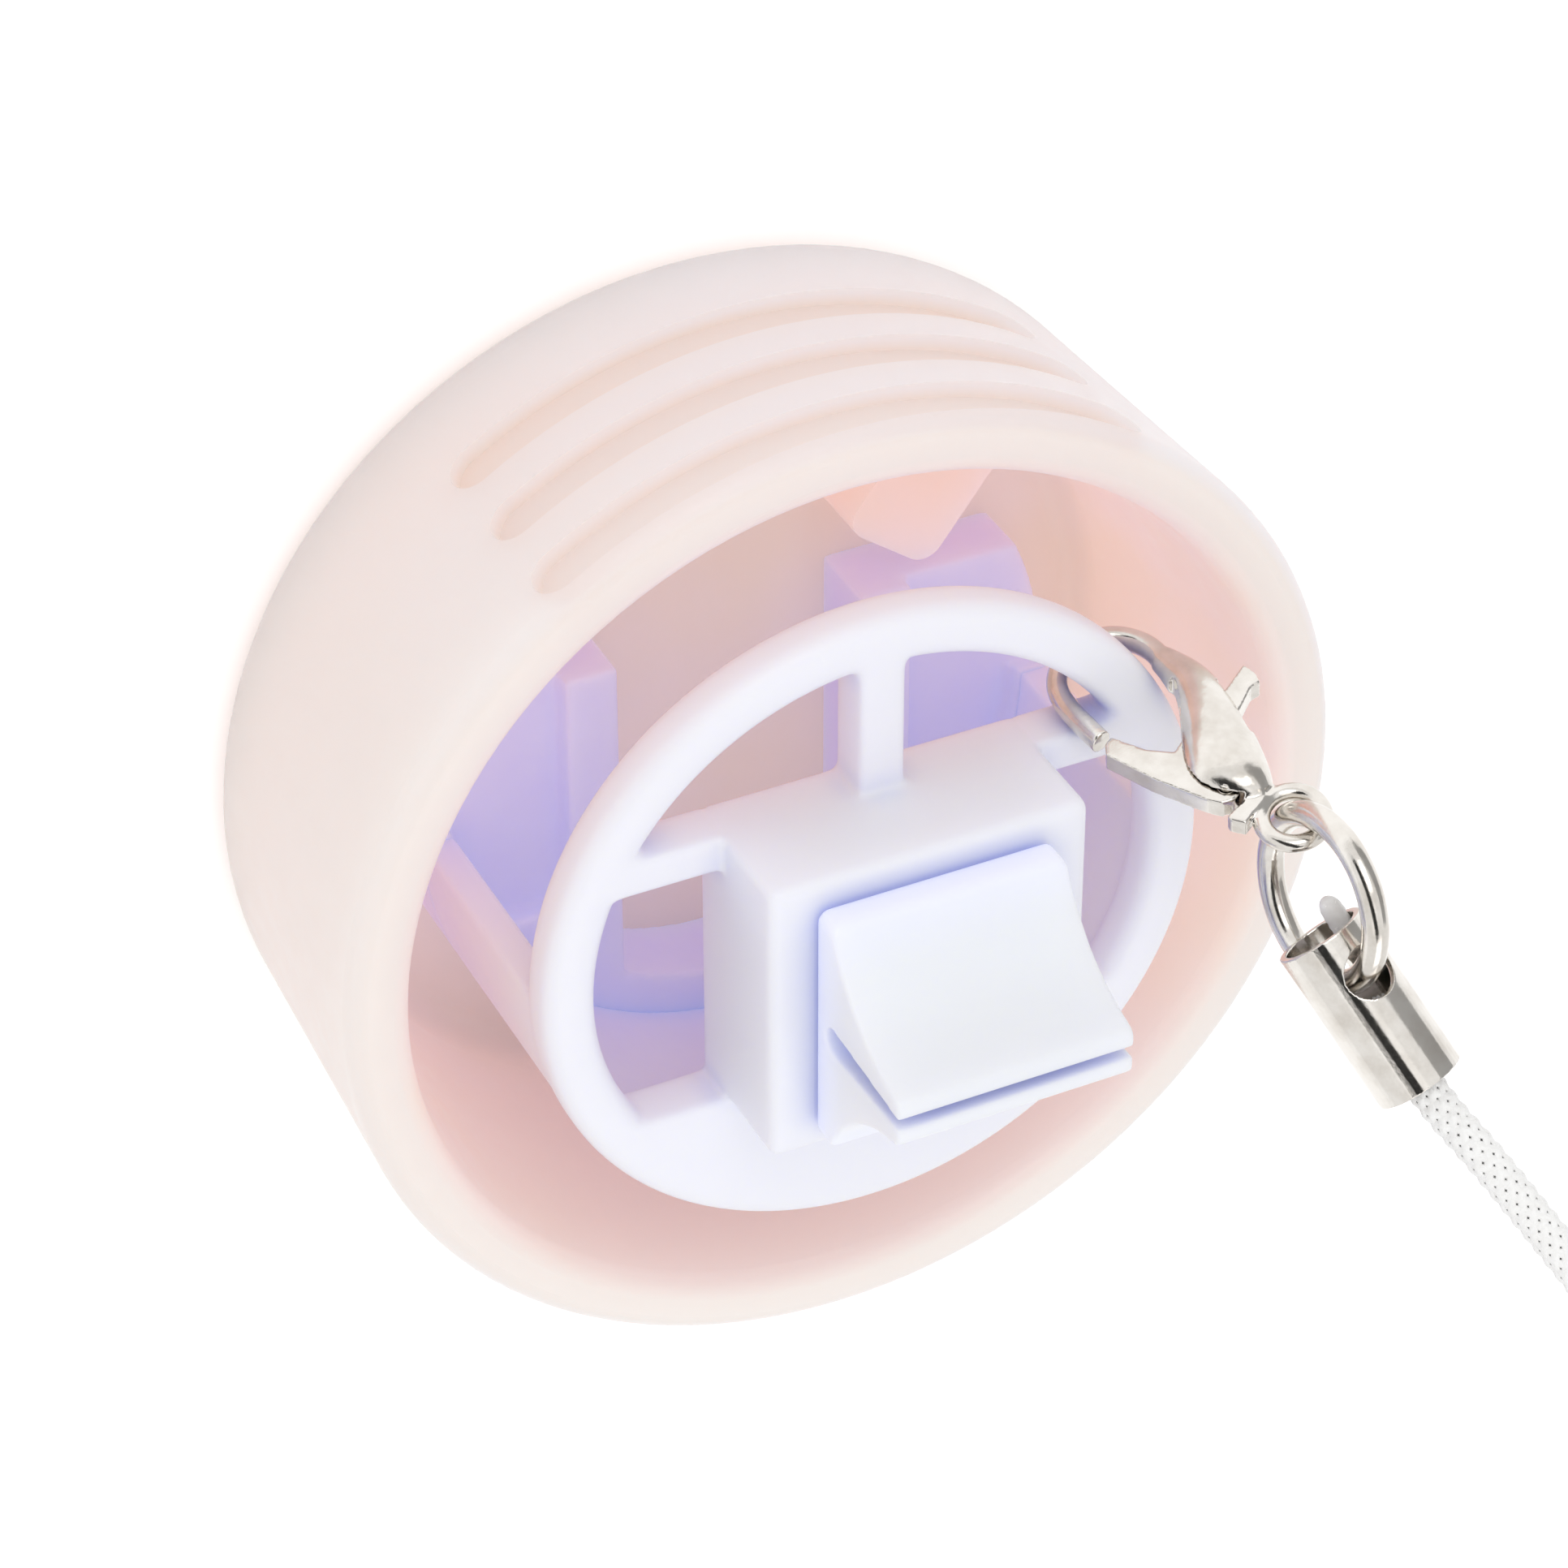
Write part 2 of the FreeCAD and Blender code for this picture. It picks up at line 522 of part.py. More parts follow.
def mainspring():
    """A flat strip wound in a spiral round the winding arbor, its outer end at the post."""
    inner, outer, turns = size("spring_inner_radius"), size("spring_outer_radius"), size("spring_turns")
    strip, steps = size("spring_strip"), 16
    end_angle = 45.0
    start_angle = end_angle - 360 * turns
    count = int(steps * turns)

    def edge_at(offset):
        points = []
        for number in range(count + 1):
            share = number / count
            points.append(polar(inner + (outer - inner) * share + offset,
                                start_angle + 360 * turns * share, SPRING_LOW))
        curve = Part.BSplineCurve()
        curve.interpolate(points)
        return curve.toShape(), points

    near, near_points = edge_at(0.0)
    far, far_points = edge_at(strip)
    start = Part.makeLine(near_points[0], far_points[0])
    end = Part.makeLine(near_points[-1], far_points[-1])
    face = Part.Face(Part.Wire(Part.__sortEdges__([near, end, far, start])))
    coil = face.extrude(Vector(0, 0, size("spring_height")))
    tail = Part.makeBox(size("spring_tail"), strip, size("spring_height"), Vector(0, -strip / 2, 0))
    tail.Placement = Placement(polar(outer + strip / 2, end_angle, SPRING_LOW), Rotation(Vector(0, 0, 1), end_angle))
    return feature("mainspring", coil.fuse(tail))


def ratchet_wheel():
    teeth, radius = int(size("ratchet_teeth")), size("ratchet_radius")
    outline = []
    for number in range(teeth):
        turn = 360 * number / teeth
        outline.append(tuple(polar(radius, turn))[:2])
        outline.append(tuple(polar(radius - 0.3, turn + 4))[:2])
    body = plate(outline, size("wheel_thickness") - 0.05, RATCHET_LOW)
    return feature("ratchet_wheel", body.cut(Part.makeCylinder(size("key_arbor_radius"), 4,
                                                               Vector(0, 0, RATCHET_LOW - 1))))


def click():
    """A pawl on the great wheel, its nose just clear of the ratchet's teeth."""
    pivot = polar(2.05, 90)
    nose = polar(size("ratchet_radius") + 0.1, 52)
    back = polar(size("ratchet_radius") + 0.42, 50)
    low, thick = RATCHET_LOW, size("wheel_thickness") - 0.15
    hub = Part.makeCylinder(0.36, thick, Vector(pivot.x, pivot.y, low))
    arm = plate([(pivot.x, pivot.y - 0.3), (nose.x, nose.y), (back.x, back.y), (pivot.x, pivot.y + 0.3)],
                thick, low)
    pawl = hub.fuse(arm).cut(Part.makeCylinder(size("ratchet_radius") + 0.06, 4, Vector(0, 0, low - 1)))
    return feature("click", pawl.cut(Part.makeCylinder(0.18, 4, Vector(pivot.x, pivot.y, low - 1))))


def click_rivet():
    pivot = polar(2.05, 90)
    return feature("click_rivet", Part.makeCylinder(0.18, size("wheel_thickness") - 0.1,
                                                    Vector(pivot.x, pivot.y, RATCHET_LOW - 0.05)))


# ---------------------------------------------------------------- clasp
# The strap lies in one plane. STRAP_PLANE has +X along its width, +Y along its height and +Z out of it.
STRAP_PLANE = Rotation(0, -26.0, -36.7)
RING_MIDDLE_HEIGHT = size("ring_back_height") + size("ring_thickness") / 2
HANG_POINT = polar(size("ring_radius") - size("ring_band") / 2, size("hook_angle"), RING_MIDDLE_HEIGHT)
CLASP_TURN = (STRAP_PLANE * Rotation(Vector(0, 0, 1), -37.0) * Rotation(Vector(0, 1, 0), -26.5)
              * Rotation(Vector(1, 0, 0), -25.3))
CLASP_PLACE = Placement(HANG_POINT + Vector(-0.134, -0.107, 0.179), CLASP_TURN)
# The places below are in the clasp's own frame: +X from the hook to the eye, +Y away from the gate.
EYE_PLACE = Vector(size("clasp_eye_reach"), -size("clasp_eye_drop"), 0)
LEVER_PIVOT = Vector(6.35, -1.0, 0)
HOOK_BEND = ((0.7, 1.88), (0.0, 2.04), (-1.45, 1.45), (-2.05, 0.0), (-1.45, -1.45), (0.0, -2.07), (1.5, -2.3))
# each section of the body: place along, place across, half width, half depth
BODY_SECTIONS = ((0.55, 1.96, 0.52, 0.5), (1.2, 1.93, 0.66, 0.62), (2.0, 1.77, 0.87, 0.8),
                 (3.0, 1.27, 1.22, 1.0), (4.0, 0.6, 1.6, 1.12), (5.0, 0.05, 1.75, 1.12),
                 (6.0, -0.22, 1.52, 1.08), (6.9, -0.27, 1.02, 0.92), (7.5, -0.24, 0.5, 0.46))
SLOT_OUTLINE = ((1.7, 1.35), (2.7, 1.0), (3.1, 3.4), (5.25, 3.4), (5.4, 1.3), (6.7, -0.1), (7.12, -0.7),
                (7.12, -2.8), (1.7, -2.8))
HEEL_OUTLINE = ((7.22, -0.2), (7.22, -1.95), (7.45, -2.0), (7.95, -1.75), (7.8, -0.9), (7.7, -0.3))
LEVER_OUTLINE = ((1.8, -2.12), (1.85, -2.5), (2.2, -2.84), (4.2, -2.5), (6.3, -1.9), (6.75, -1.68),
                 (6.95, -1.3), (6.95, -0.95), (6.3, -0.4), (4.9, 0.5), (4.35, 2.2), (4.1, 2.9),
                 (4.2, 3.3), (3.8, 3.5), (3.2, 3.5), (3.3, 3.0), (3.45, 2.3), (3.6, 0.2), (3.95, -1.1), (3.1, -1.7))


def clasp_body():
    """A hook that runs into a hollow teardrop, with an eye on its narrow end."""
    bend = Part.BSplineCurve()
    bend.interpolate([Vector(x, y, 0) for x, y in HOOK_BEND])
    start = bend.tangent(bend.FirstParameter)[0]
    oval = Part.Ellipse(Vector(), size("hook_depth"), size("hook_wire")).toShape()
    oval.Placement = Placement(bend.value(bend.FirstParameter), Rotation(Vector(0, 0, 1), Vector(), start, "ZXY"))
    ring = Part.Wire([oval])
    hook = Part.Wire([bend.toShape()]).makePipeShell([ring], True, False)
    rings = []
    for along, across, half_across, half_deep in BODY_SECTIONS:
        oval = Part.Ellipse(Vector(), half_across, half_deep).toShape()
        oval.Placement = Placement(Vector(along, across, 0), Rotation(Vector(0, 1, 0), 90)
                                   * Rotation(Vector(0, 0, 1), 90))
        rings.append(Part.Wire([oval]))
    shell = Part.makeLoft(rings, True, False)
    width = size("slot_width")
    slot = plate(SLOT_OUTLINE, width, -width / 2)
    length = size("clasp_pin_length")
    pin_hole = Part.makeCylinder(size("clasp_pin_radius"), length, LEVER_PIVOT - Vector(0, 0, length / 2))
    heel = plate(HEEL_OUTLINE, size("heel_thickness"), -size("heel_thickness") / 2)
    eye = Part.makeTorus(size("eye_radius"), size("eye_wire"), EYE_PLACE, Vector(0, 0, 1))
    eye_hole = Part.makeCylinder(size("eye_radius") - size("eye_wire"), 4, EYE_PLACE - Vector(0, 0, 2))
    body = shell.cut(slot).cut(pin_hole).fuse(heel).cut(eye_hole).fuse(hook).fuse(eye).removeSplitter()
    return feature("clasp_body", body, CLASP_PLACE)


def clasp_lever():
    """The sprung gate: a bar that closes the hook, and a thumb tab on the other side of the body."""
    thick = size("lever_thickness")
    bar = plate(LEVER_OUTLINE, thick, -thick / 2)
    hole = Part.makeCylinder(size("clasp_pin_radius") + 0.03, 6, LEVER_PIVOT - Vector(0, 0, 3))
    pocket = Part.makeCylinder(0.56, 0.42, LEVER_PIVOT - Vector(0, 0, 0.21))
    return feature("clasp_lever", bar.cut(hole).cut(pocket), CLASP_PLACE)


def clasp_pin():
    length = size("clasp_pin_length")
    pin = Part.makeCylinder(size("clasp_pin_radius"), length, LEVER_PIVOT - Vector(0, 0, length / 2))
    return feature("clasp_pin", pin, CLASP_PLACE)


def clasp_spring():
    """The lever's coil spring, round the pin in a pocket of the lever."""
    coil = Part.makeCylinder(0.5, 0.36, LEVER_PIVOT - Vector(0, 0, 0.18))
    hole = Part.makeCylinder(size("clasp_pin_radius"), 1, LEVER_PIVOT - Vector(0, 0, 0.5))
    return feature("clasp_spring", coil.cut(hole), CLASP_PLACE)


# ---------------------------------------------------------------- strap
def in_strap(x, y, z=0.0):
    """A point of the strap's plane, measured from the point where the clasp hangs."""
    return HANG_POINT + STRAP_PLANE.multVec(Vector(x, y, z))


EYE_MIDDLE = CLASP_PLACE.multVec(EYE_PLACE)
JUMP_ALONG = STRAP_PLANE.multVec(Vector(0.311, -0.950, 0)).normalize()
JUMP_ACROSS = STRAP_PLANE.multVec(Vector(0.416, 0.136, 0.899)).normalize()
JUMP_MIDDLE = EYE_MIDDLE + JUMP_ALONG * (size("jump_radius") - 0.1) + JUMP_ACROSS * 0.2
SLEEVE_AXIS = STRAP_PLANE.multVec(Vector(0.569, -0.822, -0.12)).normalize()
SLEEVE_HOLE = JUMP_MIDDLE + JUMP_ALONG * (size("jump_radius") - 0.2)
SLEEVE_TOP = SLEEVE_HOLE - SLEEVE_AXIS * size("sleeve_hole_drop")
SLEEVE_END = SLEEVE_TOP + SLEEVE_AXIS * size("sleeve_length")


def jump_ring():
    normal = JUMP_ALONG.cross(JUMP_ACROSS)
    return feature("jump_ring", Part.makeTorus(size("jump_radius"), size("jump_wire"), JUMP_MIDDLE, normal))


def crimp_tube():
    outer, length = size("sleeve_radius"), size("sleeve_length")
    tube = Part.makeCylinder(outer, length, SLEEVE_TOP, SLEEVE_AXIS)
    bore = Part.makeCylinder(outer - size("sleeve_wall"), length + 2, SLEEVE_TOP - SLEEVE_AXIS, SLEEVE_AXIS)
    across = JUMP_ACROSS - SLEEVE_AXIS * JUMP_ACROSS.dot(SLEEVE_AXIS)
    hole = Part.makeCylinder(size("sleeve_hole_radius"), 4 * outer, SLEEVE_HOLE - across * 2 * outer, across)
    return feature("crimp_tube", tube.cut(bore).cut(hole))


# The cord's route: up the middle of the sleeve, out of its end and away to the knot.
CORD_ROUTE = (
    SLEEVE_END - SLEEVE_AXIS * 3.3,
    SLEEVE_END + SLEEVE_AXIS * 0.9,
    in_strap(13.1, -17.4, 4.2),
    in_strap(18.9, -24.7, 3.5),
    in_strap(27.2, -36.0, 2.2),
)


def cord_path(points):
    """Straight runs joined by tangent arcs, each as large as its two runs allow."""
    edges, start = [], points[0]
    for before, corner_point, after in zip(points, points[1:], points[2:]):
        back, ahead = before - corner_point, after - corner_point
        turn = math.pi - back.getAngle(ahead)
        reach = 0.45 * min(back.Length, ahead.Length)
        print("cord radius", round(reach / math.tan(turn / 2), 2))
        first = corner_point + back * (reach / back.Length)
        last = corner_point + ahead * (reach / ahead.Length)
        inward = (back.normalize() + ahead.normalize()).normalize()
        radius = reach / math.tan(turn / 2)
        middle = corner_point + inward * (radius / math.cos(turn / 2) - radius)
        edges += [Part.LineSegment(start, first).toShape(), Part.Arc(first, middle, last).toShape()]
        start = last
    edges.append(Part.LineSegment(start, points[-1]).toShape())
    return Part.Wire(edges)


def strap_cord():
    path = cord_path(CORD_ROUTE)
    ring = Part.Wire([Part.makeCircle(size("cord_radius"), CORD_ROUTE[0], CORD_ROUTE[1] - CORD_ROUTE[0])])
    tube = path.makePipeShell([ring], True, True)
    expected = math.pi * size("cord_radius") ** 2 * path.Length
    print("cord length", round(path.Length, 2), "volume share", round(tube.Volume / expected, 4))
    return feature("strap_cord", tube)


def strap_knot():
    """The knot at the far end, over the last of the cord."""
    last = (CORD_ROUTE[-1] - CORD_ROUTE[-2]).normalize()
    radius = size("knot_radius")
    inset = math.sqrt(radius ** 2 - size("cord_radius") ** 2)
    ball = Part.makeSphere(radius, CORD_ROUTE[-1] + last * inset)
    return feature("strap_knot", ball.cut(Part.makeCylinder(size("cord_radius"), 2, CORD_ROUTE[-1] - last * 2,
                                                             last)))


def cord_tail():
    """The cord's cut end, which stands out of the sleeve's other end beside its wall."""
    side = JUMP_ACROSS.cross(SLEEVE_AXIS).normalize()
    shift = size("sleeve_radius") - size("sleeve_wall") - size("cord_radius") - 0.02
    foot = SLEEVE_TOP + side * shift + SLEEVE_AXIS * 0.55
    tail = Part.makeCylinder(size("cord_radius") - 0.03, 1.75, foot, SLEEVE_AXIS * -1)
    return feature("cord_tail", tail)


# ---------------------------------------------------------------- assembly
piece("soft_shell", soft_cup())
piece("carrier_frame", carrier_frame())
piece("rear_bracket", rear_bracket())
piece("movement_case", movement_case())
piece("case_back", case_back())
piece("case_screws", case_screws())
piece("key_bush", key_bush())
piece("winding_key", winding_key())
KEY_SEAT = size("ring_back_height") + size("case_height") + size("key_gap") + 1.0
piece("key_arbor", arbor("key_arbor", size("key_arbor_radius"), BACK_FACE - size("pivot_depth") + 0.05,
                         KEY_SEAT, Vector()))
piece("mainspring", mainspring())
piece("spring_post", arbor("spring_post", size("spring_post_radius"), BACK_FACE - size("pivot_depth"),
                           SPRING_LOW + size("spring_height"), SPRING_POST))
train()
piece("ratchet_wheel", ratchet_wheel())
piece("click", click())
piece("click_rivet", click_rivet())
piece("clasp_body", clasp_body())
piece("clasp_lever", clasp_lever())
piece("clasp_pin", clasp_pin())
piece("clasp_spring", clasp_spring())
piece("jump_ring", jump_ring())
piece("crimp_tube", crimp_tube())
piece("strap_cord", strap_cord())
piece("cord_tail", cord_tail())
piece("strap_knot", strap_knot())

doc.recompute()
for thing in doc.Objects:
    if "Invalid" in thing.State or "Error" in thing.State:
        raise RuntimeError(f"{thing.Name} failed to build: {thing.State}")
for thing in PARTS:
    if thing.Shape.isNull() or not thing.Shape.isValid():
        raise RuntimeError(f"{thing.Label} has no valid shape")
os.makedirs("parts", exist_ok=True)
for thing in PARTS:
    thing.Shape.exportStep(f"parts/{thing.Label}.step")
    print(thing.Label, "solids", len(thing.Shape.Solids), "volume", round(thing.Shape.Volume, 3))
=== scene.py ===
"""Looks of the wind-up soft cup: materials, rounded pieces, braided cord, lights and camera, in metres."""
import json
import math

import bmesh
import bpy
import numpy as np
from mathutils import Matrix, Vector


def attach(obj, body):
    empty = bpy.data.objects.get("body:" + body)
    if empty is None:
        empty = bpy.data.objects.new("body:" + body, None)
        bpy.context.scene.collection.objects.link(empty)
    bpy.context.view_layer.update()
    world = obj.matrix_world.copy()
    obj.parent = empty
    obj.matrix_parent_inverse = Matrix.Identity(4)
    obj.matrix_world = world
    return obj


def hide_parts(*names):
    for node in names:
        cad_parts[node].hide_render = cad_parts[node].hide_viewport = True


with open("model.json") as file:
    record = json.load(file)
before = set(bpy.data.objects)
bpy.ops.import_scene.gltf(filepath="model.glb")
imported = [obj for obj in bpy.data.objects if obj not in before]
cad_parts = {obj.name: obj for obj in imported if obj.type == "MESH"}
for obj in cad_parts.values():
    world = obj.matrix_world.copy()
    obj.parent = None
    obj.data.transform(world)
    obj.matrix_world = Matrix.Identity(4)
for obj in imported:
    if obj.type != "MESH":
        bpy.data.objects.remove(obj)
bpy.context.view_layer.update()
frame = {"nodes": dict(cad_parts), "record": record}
MM = 0.001
# the cup's wall, as distances from the cup's axis: where its inner face ends and its outer face begins,
# the outer face at the closed end, and how much that one grows for each metre of height
WALL_INSIDE, WALL_OUTSIDE = 0.0179, 0.0186
SKIN_RADIUS, SKIN_SLOPE = 0.0195, 0.045
# how far below the outer face a groove's warm colour begins, and where it is full: painted light through
# the thin wall
GROOVE_SHALLOW, GROOVE_DEEP = 0.0002, 0.0006
# the light that comes through the wall fades from here to the outer face
GLOW_FROM, GLOW_STRENGTH = 0.0172, 0.27
# most of a noise texture's values lie between these two
NOISE_LOW, NOISE_HIGH = 0.3, 0.7
# where a tint on the cup is full and where it ends: peach on the outside along x, painted light through the
# wall, a darker pink on the inside towards low y, painted shade, and a weaker light through the wall along
# y
PEACH_LIGHT_FULL, PEACH_LIGHT_END = -0.013, 0.006
PINK_SHADE_FULL, PINK_SHADE_END = -0.016, -0.004
WEAK_FULL, WEAK_END = -0.019, -0.006
# how far a corner's painted shade reaches, and how open a place is where the shade is full and where it
# ends
CREVICE_REACH, CREVICE_DARK, CREVICE_OPEN = 0.0018, 0.25, 0.85
# metal: the depth of its pits, and how much finer a brushed one's marks are along x, y and z
PIT_DEPTH, BRUSHED = 0.00001, (1, 1, 6)
SMOOTH_FACTOR = 0.5
BLACK, WHITE = (0, 0, 0, 1), (1, 1, 1, 1)


# ---------------------------------------------------------------- materials
def linear(text):
    """A colour written as six hexadecimal digits, in linear light."""
    values = [int(text[k:k + 2], 16) / 255 for k in (0, 2, 4)]
    return tuple(v / 12.92 if v <= 0.04045 else ((v + 0.055) / 1.055) ** 2.4 for v in values) + (1.0,)


class Nodes:
    """A material's node tree, with short calls for the nodes used here."""

    def __init__(self, name):
        self.material = bpy.data.materials.new(name)
        self.material.use_nodes = True
        self.tree = self.material.node_tree
        self.shader = self.tree.nodes["Principled BSDF"]
        self.place = self.add("ShaderNodeTexCoord").outputs["Object"]

    def add(self, kind, **values):
        node = self.tree.nodes.new(kind)
        for key, value in values.items():
            setattr(node, key, value)
        return node

    def link(self, a, b):
        self.tree.links.new(a, b)

    def set(self, **values):
        """Sets values that are the same all over the surface."""
        for key, value in values.items():
            self.shader.inputs[key.replace("_", " ")].default_value = value

    def noise(self, scale, detail=3.0, rough=0.55, stretch=None):
        """Noise fixed to the surface; stretch says how much finer its marks are along x, y and z."""
        node = self.add("ShaderNodeTexNoise")
        node.inputs["Scale"].default_value = scale
        node.inputs["Detail"].default_value = detail
        node.inputs["Roughness"].default_value = rough
        source = self.place
        if stretch:
            mapping = self.add("ShaderNodeMapping")
            mapping.inputs["Scale"].default_value = stretch
            self.link(self.place, mapping.inputs["Vector"])
            source = mapping.outputs["Vector"]
        self.link(source, node.inputs["Vector"])
        return node.outputs["Fac"]

    def ramp(self, source, stops):
        """A colour for each value, from stops of (position, colour)."""
        node = self.add("ShaderNodeValToRGB")
        ends = node.color_ramp.elements
        ends[0].position, ends[0].color = stops[0]
        ends[1].position, ends[1].color = stops[-1]
        for position, color in stops[1:-1]:
            ends.new(position).color = color
        self.link(source, node.inputs["Fac"])
        return node.outputs["Color"]

    def span(self, source, low, high, to_low=0.0, to_high=1.0):
        """Takes low..high to to_low..to_high, and holds beyond them."""
        node = self.add("ShaderNodeMapRange")
        for key, value in zip(("From Min", "From Max", "To Min", "To Max"), (low, high, to_low, to_high)):
            node.inputs[key].default_value = value
        self.link(source, node.inputs["Value"])
        return node.outputs["Result"]

    def math(self, operation, a, b=None):
        node = self.add("ShaderNodeMath", operation=operation)
        for slot, value in zip(node.inputs, (a, b)):
            if isinstance(value, (int, float)):
                slot.default_value = value
            elif value is not None:
                self.link(value, slot)
        return node.outputs["Value"]

    def mix(self, factor, a, b):
        """Colour a where the factor is 0 and b where it is 1."""
        node = self.add("ShaderNodeMix", data_type="RGBA", blend_type="MIX")
        for slot, value in ((node.inputs["Factor"], factor), (node.inputs[6], a), (node.inputs[7], b)):
            if isinstance(value, (int, float, tuple)):
                slot.default_value = value
            else:
                self.link(value, slot)
        return node.outputs[2]

    def bump(self, height, distance, strength=1.0):
        node = self.add("ShaderNodeBump")
        node.inputs["Distance"].default_value = distance
        node.inputs["Strength"].default_value = strength
        self.link(height, node.inputs["Height"])
        self.link(node.outputs["Normal"], self.shader.inputs["Normal"])

    def colour(self, value):
        self.link(value, self.shader.inputs["Base Color"])

    def roughness(self, value):
        self.link(value, self.shader.inputs["Roughness"])

    def crevice(self):
        """0 deep in a corner and 1 in the open: the mask of the shade painted into corners."""
        node = self.add("ShaderNodeAmbientOcclusion", samples=8)
        node.inputs["Distance"].default_value = CREVICE_REACH
        return self.span(node.outputs["AO"], CREVICE_DARK, CREVICE_OPEN)

    def glow(self, value):
        """The light that comes through the thin translucent wall, as a faint glow of the surface's own."""
        self.link(value, self.shader.inputs["Emission Color"])
        self.shader.inputs["Emission Strength"].default_value = GLOW_STRENGTH

    def axes(self):
        """The surface's x, y and z in the object's frame."""
        node = self.add("ShaderNodeSeparateXYZ")
        self.link(self.place, node.inputs["Vector"])
        return node.outputs


def soft_pink():
    """Translucent soft rubber: white outside, peach at low x and in the grooves as painted light through
    the wall, and pinker inside, darker towards low y as painted shade.
    """
    n = Nodes("soft_pink")
    x, y, z = n.axes()
    radius = n.math("SQRT", n.math("ADD", n.math("MULTIPLY", x, x), n.math("MULTIPLY", y, y)))
    warm = n.ramp(n.noise(110, 2), [(0.35, linear("FAD9D5")), (0.65, linear("FBD6C6"))])
    # painted shade: the inner wall's pink is darker towards low y
    inner_with_painted_shade = n.mix(n.span(y, PINK_SHADE_FULL, PINK_SHADE_END), linear("EFD0CA"), warm)
    skin = n.math("ADD", n.math("MULTIPLY", z, SKIN_SLOPE), SKIN_RADIUS)
    clouded = n.math("ADD", n.math("MULTIPLY", n.noise(60, 2), 0.012), x)
    # painted light: the outer wall turns peach towards low x, for warm light shining through the wall
    outside = n.mix(n.span(clouded, PEACH_LIGHT_FULL, PEACH_LIGHT_END), linear("FFE6DD"), linear("FBEAE9"))
    depth = n.math("SUBTRACT", skin, radius)
    # painted light: the grooves turn a warmer colour, for light through the thinner wall
    outer_with_painted_light = n.mix(n.span(depth, GROOVE_SHALLOW, GROOVE_DEEP), outside, linear("FDE4DA"))
    n.colour(n.mix(n.span(radius, WALL_INSIDE, WALL_OUTSIDE), inner_with_painted_shade, outer_with_painted_light))
    n.roughness(n.span(n.noise(900, 3), NOISE_LOW, NOISE_HIGH, 0.30, 0.44))
    n.bump(n.math("ADD", n.noise(2600, 4), n.math("MULTIPLY", n.noise(300, 2), 4.0)), 0.00002, 0.35)
    n.set(Subsurface_Weight=0.8, Subsurface_Scale=0.012, Subsurface_Radius=(1.0, 0.8, 0.72), IOR=1.43)
    lit = n.mix(n.span(y, WEAK_FULL, WEAK_END), linear("7C706C"), linear("D0C1BA"))
    n.glow(n.mix(n.span(radius, GLOW_FROM, WALL_OUTSIDE), lit, BLACK))
    return n.material


def lavender(name, lit, deep, low, high, rough=0.42):
    """Moulded plastic with painted shade, its colour deeper down inside the cup and in corners, and a
    painted glow of its own that is stronger down inside the cup.
    """
    n = Nodes(name)
    z = n.axes()[2]
    # painted shade: the colour deepens down inside the cup
    shaded_colour = n.mix(n.span(z, low, high), linear(deep), linear(lit))
    # painted shade: a bluish tint deep in corners
    shaded_colour = n.mix(n.crevice(), linear("D0D5F9"), shaded_colour)
    n.colour(n.mix(n.span(n.noise(260, 3), 0.35, 0.75, 0.0, 0.18), shaded_colour, linear("F4F6FF")))
    n.roughness(n.span(n.noise(1200, 3), NOISE_LOW, NOISE_HIGH, rough - 0.05, rough + 0.08))
    n.bump(n.noise(3200, 5), 0.000012, 0.3)
    n.set(Subsurface_Weight=0.45, Subsurface_Scale=0.003, Subsurface_Radius=(0.7, 0.7, 1.0), IOR=1.48)
    # painted light: a faint glow of the plastic's own, stronger down inside the cup
    n.glow(n.mix(n.span(z, low, high), linear("A8B0CA"), linear("1A1C30")))
    return n.material


def metal(name, bright, dark, rough, stretch=None):
    """Plated metal with a faint cloudiness, polishing marks and small pits."""
    n = Nodes(name)
    n.colour(n.ramp(n.noise(900, 5), [(0.3, linear(dark)), (0.62, linear(bright))]))
    n.roughness(n.span(n.noise(1500, 5, 0.7, stretch), 0.3, 0.75, rough * 0.7, rough * 1.5))
    n.bump(n.noise(5200, 6, 0.7, stretch), PIT_DEPTH, 0.5)
    n.set(Metallic=1.0)
    return n.material


def cord_white(name):
    """White braid of fine shiny filaments."""
    n = Nodes(name)
    n.colour(n.ramp(n.noise(1800, 4, 0.6, (1, 1, 4)), [(0.3, linear("F6F5F3")), (0.7, linear("FFFFFE"))]))
    n.roughness(n.span(n.noise(2500, 3), NOISE_LOW, NOISE_HIGH, 0.34, 0.5))
    n.bump(n.noise(9000, 3, 0.6, (1, 1, 5)), 0.00002, 0.6)
    n.set(Sheen_Weight=0.3, Sheen_Roughness=0.4)
    return n.material


SOFT_PINK = soft_pink()
# each plastic: its lit colour, its colour of painted shade down inside the cup, the heights between them,
# roughness
LAVENDER = lavender("lavender_plastic", "F1F2FF", "D9D0FC", 0.003, 0.0140)
KEY_LAVENDER = lavender("key_plastic", "F2F5FF", "E8E9FE", 0.0215, 0.0235, 0.38)
NICKEL = metal("nickel", "E4E0DA", "D2CCC4", 0.11)
STEEL = metal("steel", "C4C4C6", "98989C", 0.3, BRUSHED)
BRASS = metal("brass", "D9B36C", "B08C48", 0.28, BRUSHED)
CORD = cord_white("white_cord")
BY_SLOT = {"soft_pink": SOFT_PINK, "lavender_plastic": LAVENDER, "nickel": NICKEL, "steel": STEEL,
           "brass": BRASS, "white_cord": CORD}
SLOT_OF = {part["node"]: part["material_slot"] for part in frame["record"]["subparts"]}


def finish_with(piece, material):
    """Gives a piece this one material."""
    piece.data.materials.clear()
    piece.data.materials.append(material)


